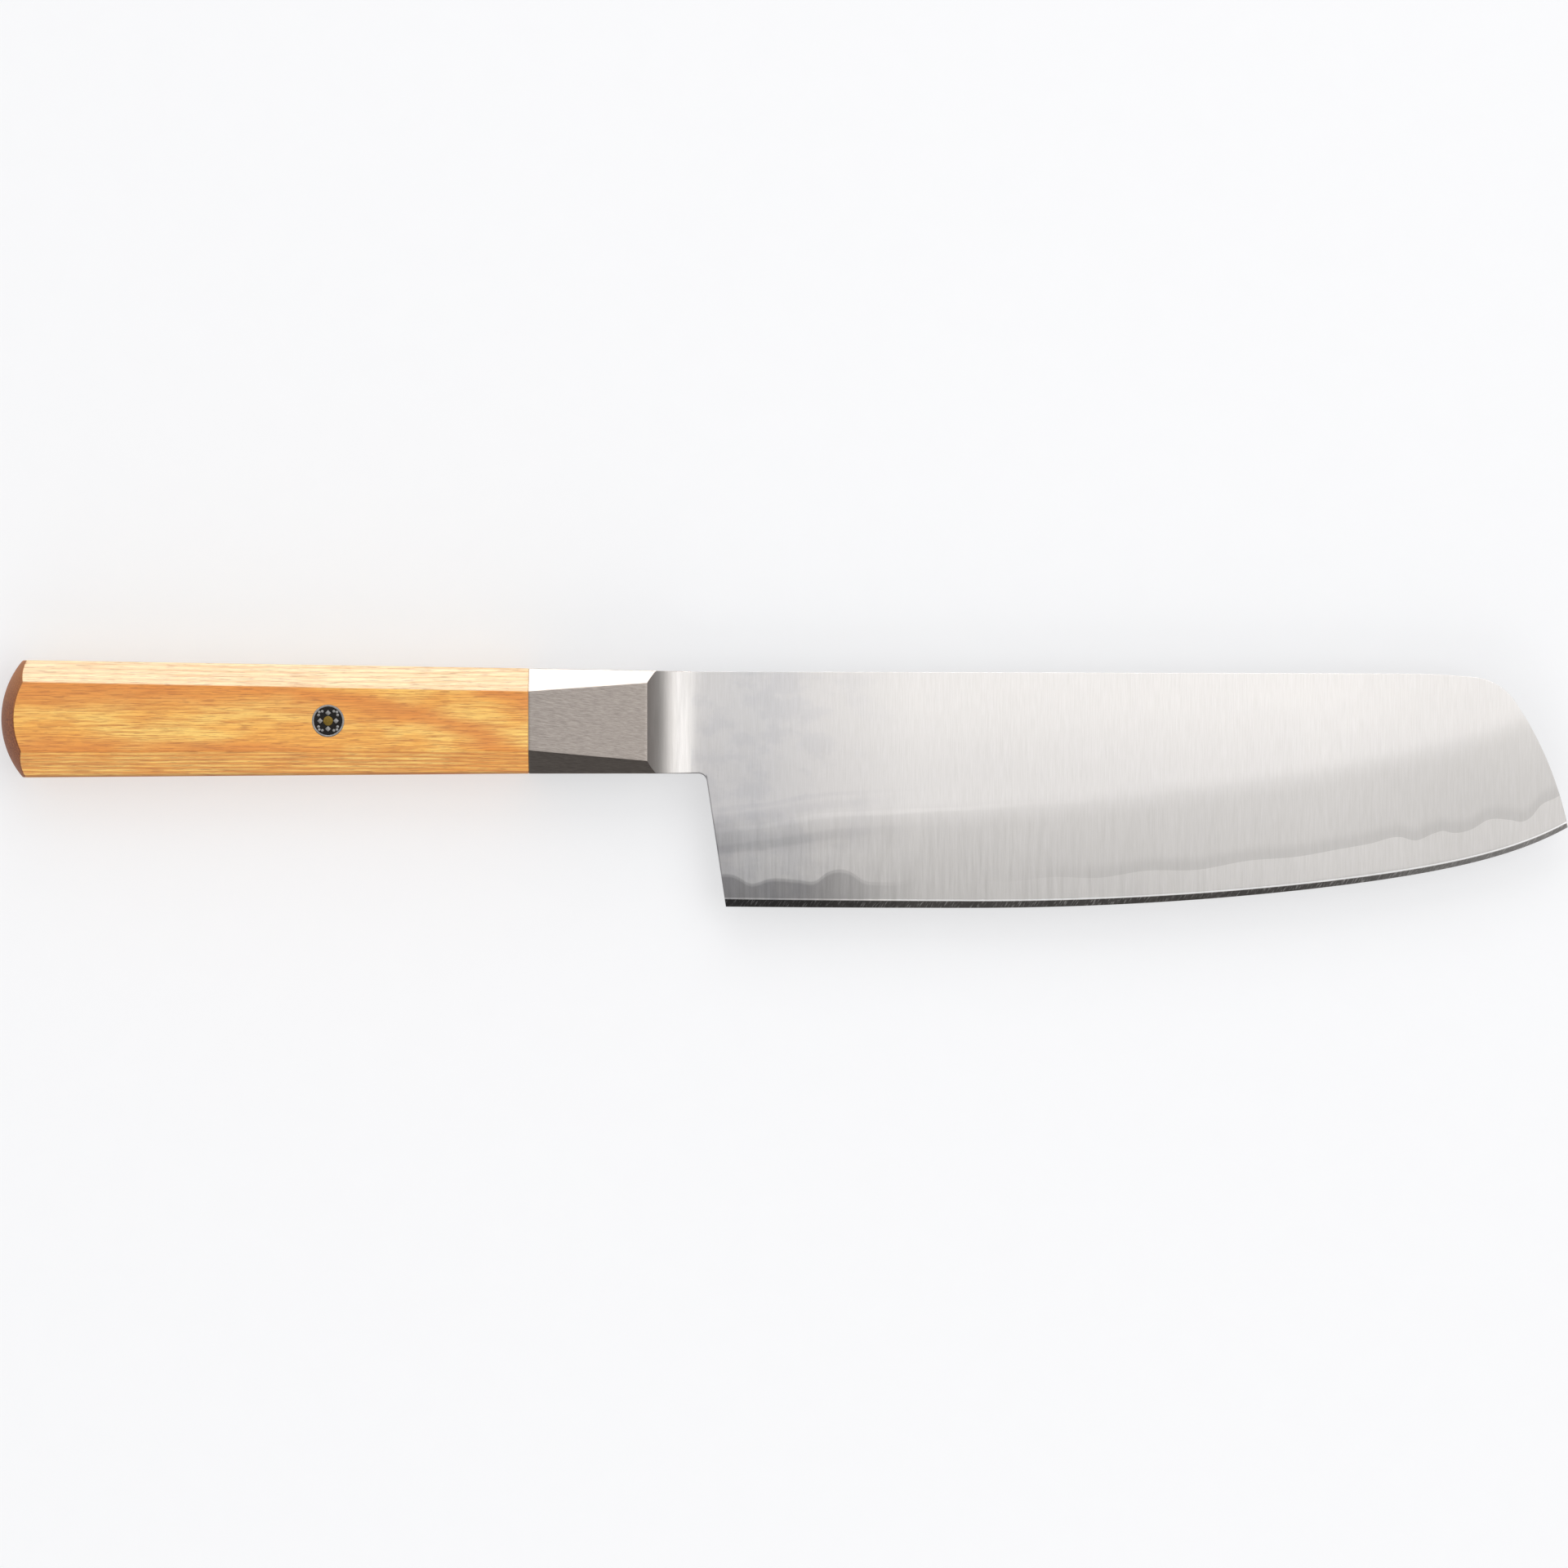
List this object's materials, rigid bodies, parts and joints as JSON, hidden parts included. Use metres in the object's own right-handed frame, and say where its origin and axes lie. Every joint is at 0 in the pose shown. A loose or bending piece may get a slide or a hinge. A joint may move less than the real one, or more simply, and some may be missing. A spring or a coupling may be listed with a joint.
{
  "type": "nakiri knife",
  "caption": "Straight-edged Japanese vegetable knife: tall three-layer blade, tapered octagonal steel bolster, octagonal wooden handle with a domed butt and a mosaic pin.",
  "frame": {"origin": "under the middle of the knife's bounding box, on the plane that the handle's side face lies on", "axes": "+X towards the tip, +Y towards the spine, +Z out of the blade's face"},
  "size_m": [0.3068, 0.0486, 0.018],
  "materials": {
    "cherry_wood": "oiled",
    "bolster_steel": "brushed along the knife",
    "tang_steel": "mill finish",
    "bedding_resin": "cured resin",
    "core_steel": "fine brushed across the blade",
    "cladding_steel": "brushed across the blade",
    "pin_nickel_silver": "satin",
    "pin_brass": "satin",
    "pin_resin": "polished black resin"
  },
  "bodies": {
    "root": {"handle": "cherry_wood", "bolster": "bolster_steel", "tang": "tang_steel", "tang_bedding": "bedding_resin", "blade_core": "core_steel", "cladding_upper": "cladding_steel", "cladding_lower": "cladding_steel", "pin_tube": "pin_nickel_silver", "pin_centre_rod": "pin_brass", "pin_square_rods": "pin_nickel_silver", "pin_round_rods": "pin_nickel_silver", "pin_resin": "pin_resin"}
  },
  "joints": []
}
